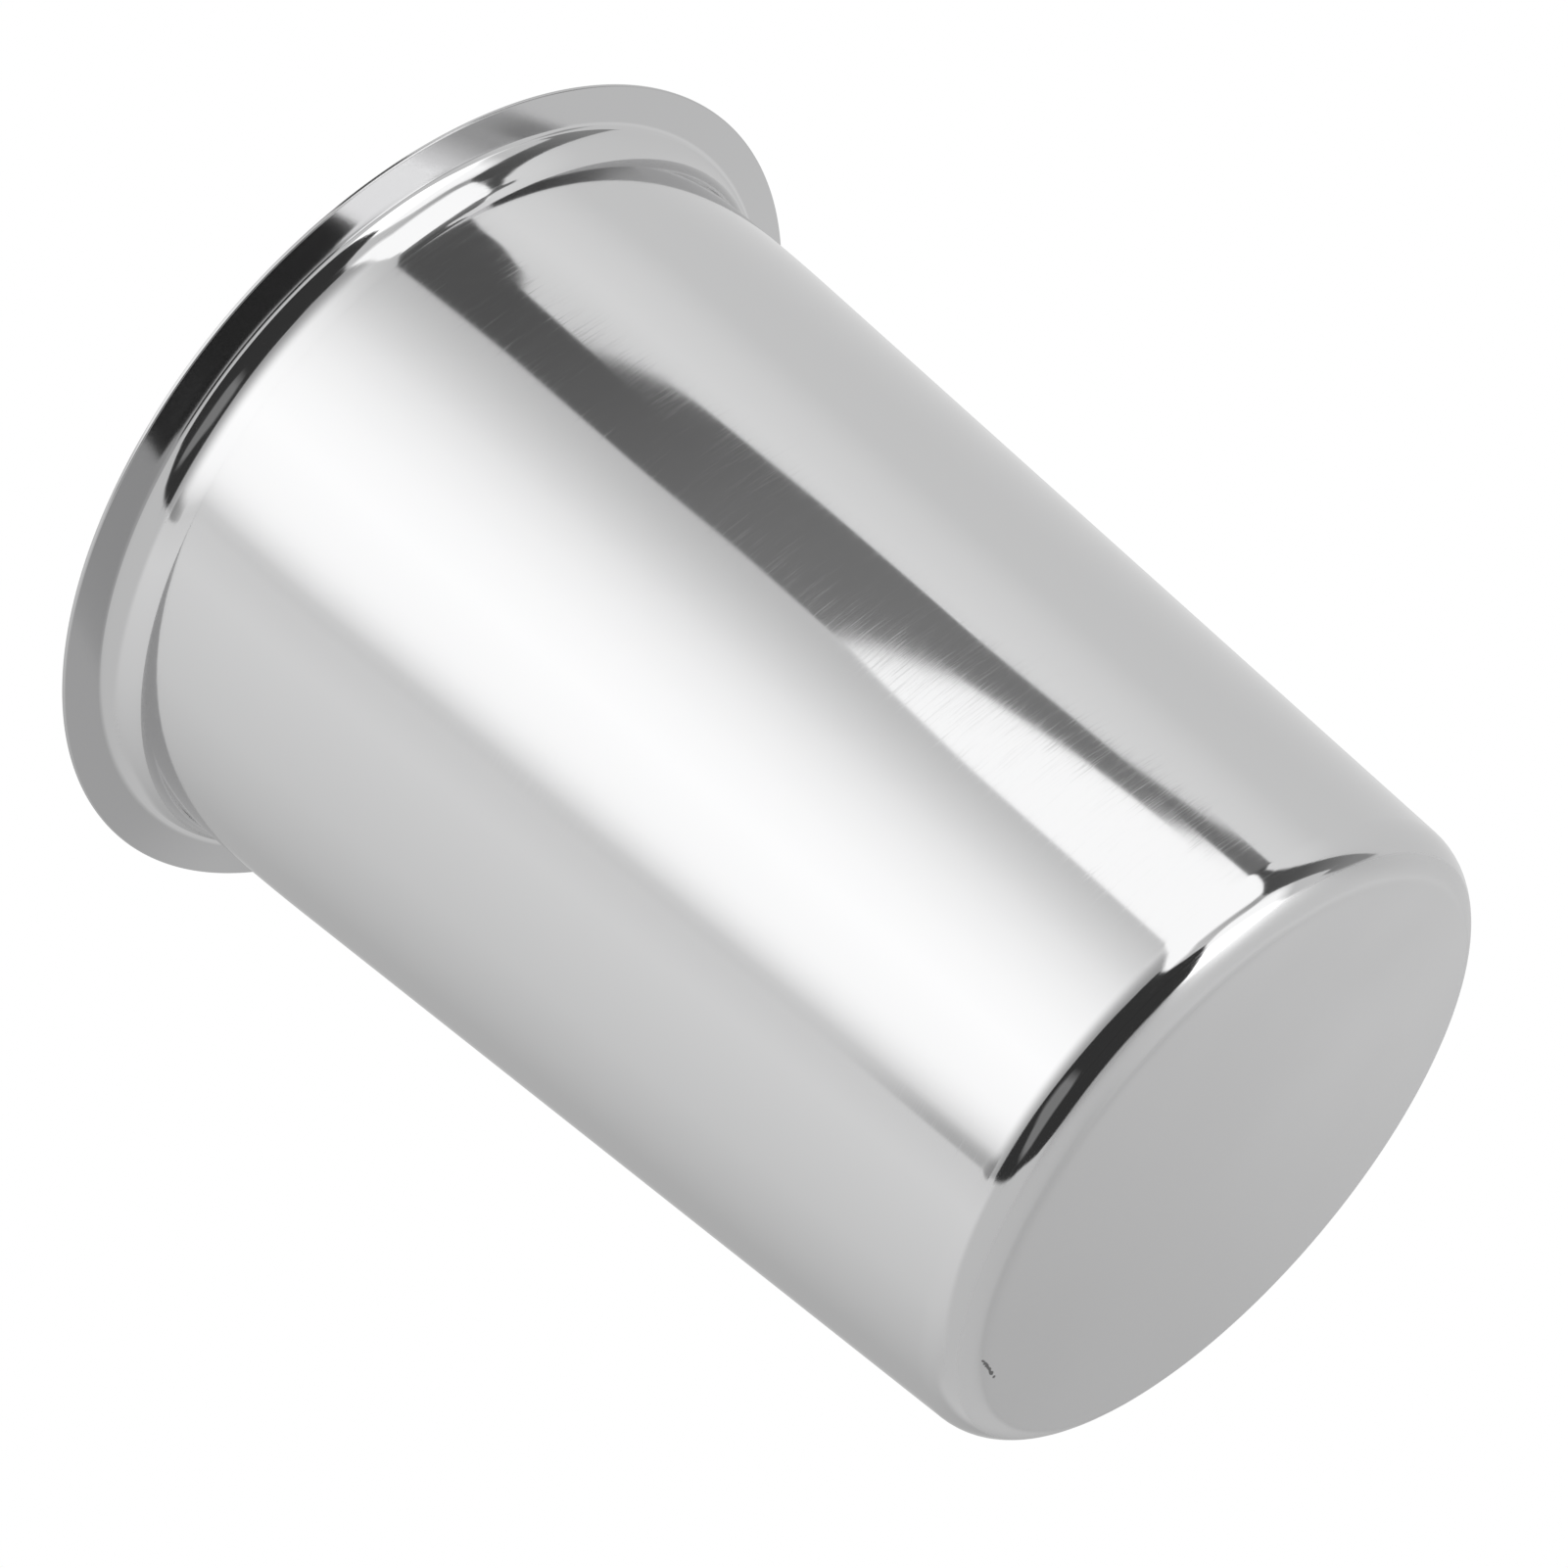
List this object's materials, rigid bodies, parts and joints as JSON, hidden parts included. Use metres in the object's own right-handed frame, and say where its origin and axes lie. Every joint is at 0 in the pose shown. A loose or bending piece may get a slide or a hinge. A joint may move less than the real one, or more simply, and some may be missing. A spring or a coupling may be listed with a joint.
{
  "type": "kitchen utensil holder",
  "caption": "Tapered round cup drawn from polished steel sheet, with a flat base and a flared rim, for standing kitchen utensils in or for hanging in a ring.",
  "frame": {"origin": "middle of the underside of the base, which the cup stands on", "axes": "+Z is the axis of turning, from the base up through the open mouth; X and Y are alike because the cup is round"},
  "size_m": [0.12, 0.12, 0.142],
  "materials": {
    "polished_steel": "mirror-polished stainless steel with fine polishing lines that run around the cup, and a satin base and lip"
  },
  "bodies": {
    "root": {"utensil_cup": "polished_steel"}
  },
  "joints": []
}
